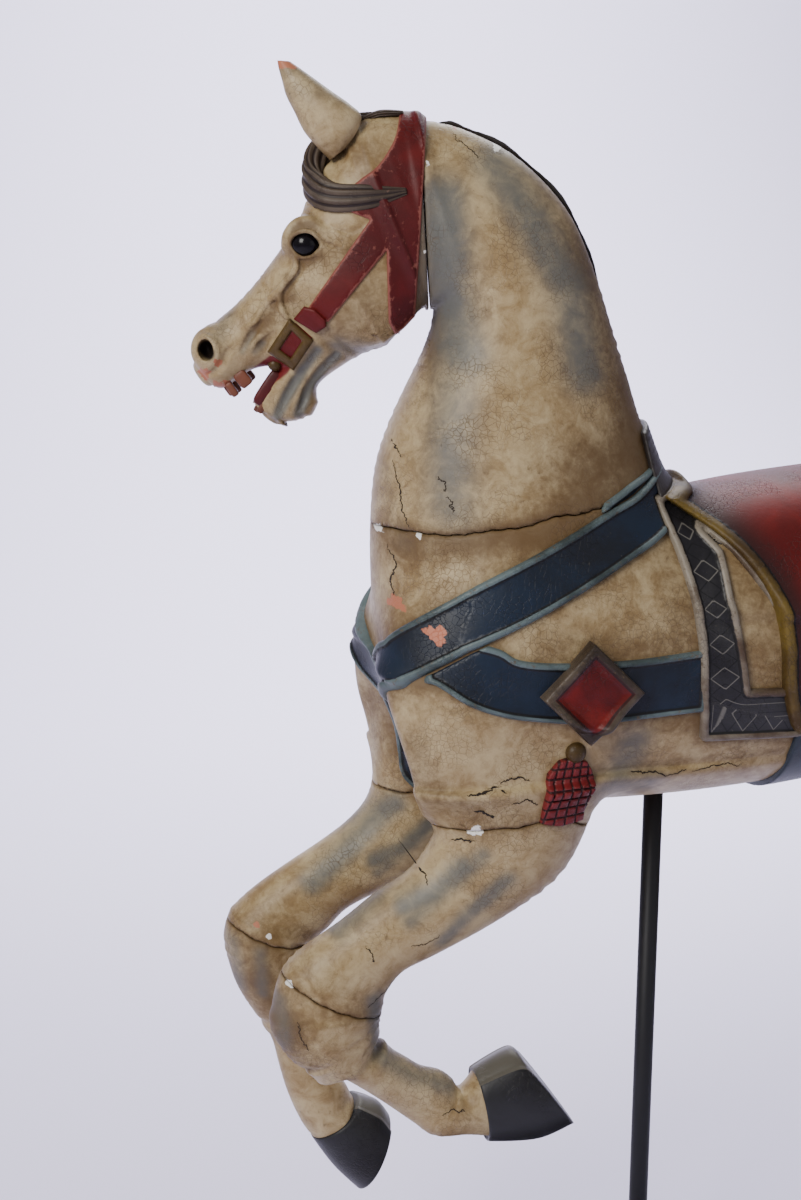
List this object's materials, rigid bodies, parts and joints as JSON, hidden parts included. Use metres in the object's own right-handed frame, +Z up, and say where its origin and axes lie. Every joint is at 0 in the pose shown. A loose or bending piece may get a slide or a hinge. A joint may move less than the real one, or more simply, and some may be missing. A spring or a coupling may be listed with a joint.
{
  "type": "carousel horse",
  "caption": "Carved and painted wooden carousel horse in a leaping pose, with carved harness, saddle and mane, held up on a plain steel rod with a round foot.",
  "frame": {"origin": "centre of the foot's underside, on the floor under the rod", "axes": "+Z up along the rod; the horse faces -X and its left side is towards -Y"},
  "size_m": [1.2628, 0.56, 1.532],
  "materials": {
    "painted_wood": "old oil paint on carved wood, worn, crackled and darkened in the hollows",
    "eye_glass": "dark brown glass, polished",
    "blackened_steel": "black painted steel, satin, a little rusted"
  },
  "bodies": {
    "root": {"horse": "painted_wood", "left_eye": "eye_glass", "right_eye": "eye_glass", "stand_pole": "blackened_steel", "stand_base": "blackened_steel"}
  },
  "joints": []
}
